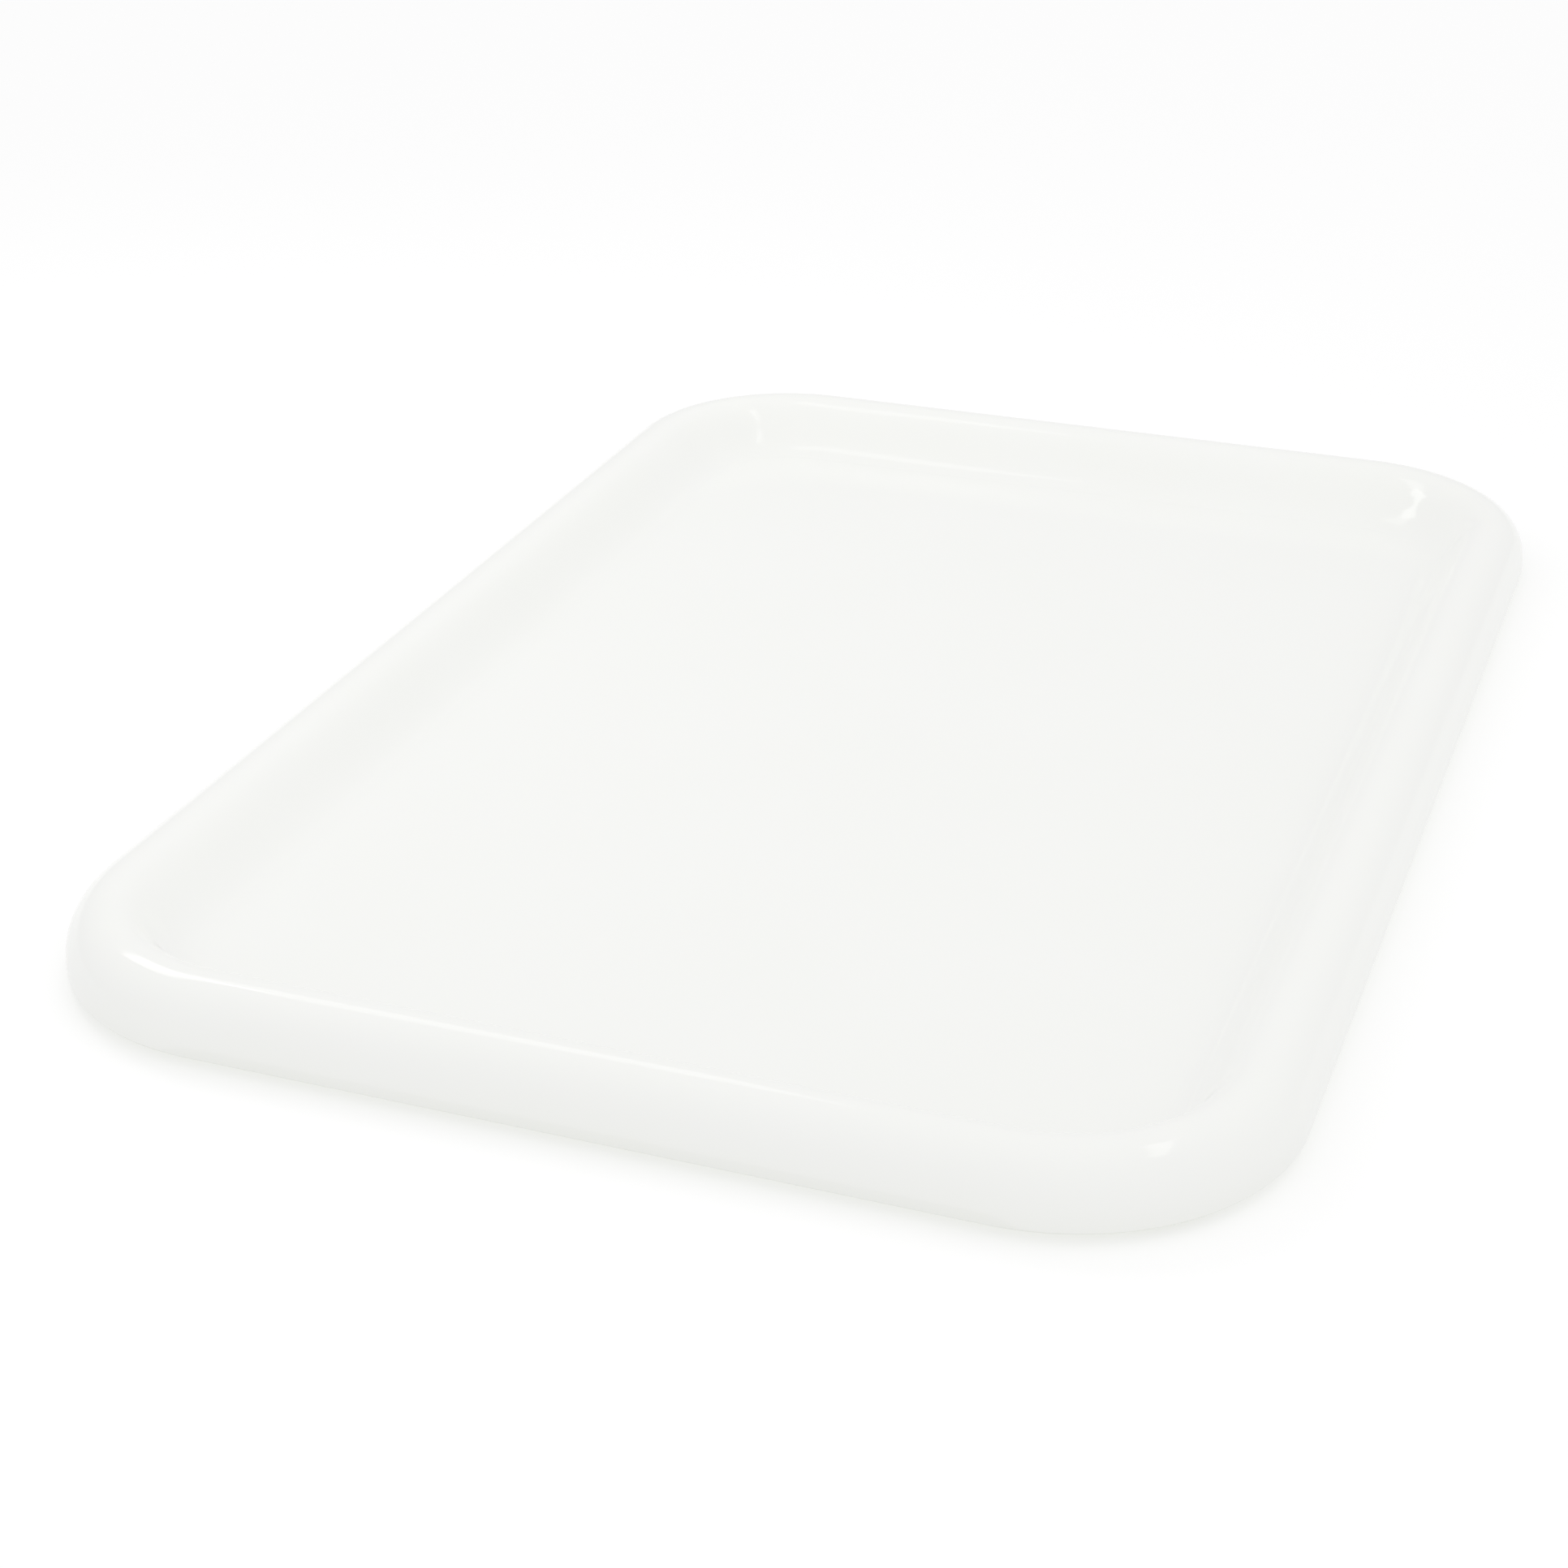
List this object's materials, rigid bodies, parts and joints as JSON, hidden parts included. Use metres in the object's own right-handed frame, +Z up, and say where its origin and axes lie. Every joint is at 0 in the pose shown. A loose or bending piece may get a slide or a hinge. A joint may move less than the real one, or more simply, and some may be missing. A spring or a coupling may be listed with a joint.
{
  "type": "cutting board",
  "caption": "White moulded tray-form deli cutting board: recessed flat floor, coved walls, rounded rim, skirt, rubber corner feet.",
  "frame": {"origin": "on the surface the board stands on, under the middle of its outline", "axes": "+Z up out of the food side, +Y along the long side towards the back, +X along the short side to the right"},
  "size_m": [0.305, 0.457, 0.019],
  "materials": {
    "board_plastic": "glossy moulded white, faintly warm-green",
    "foot_rubber": "matt light grey"
  },
  "bodies": {
    "root": {"board_shell": "board_plastic", "foot_front_left": "foot_rubber", "foot_front_right": "foot_rubber", "foot_back_left": "foot_rubber", "foot_back_right": "foot_rubber"}
  },
  "joints": []
}
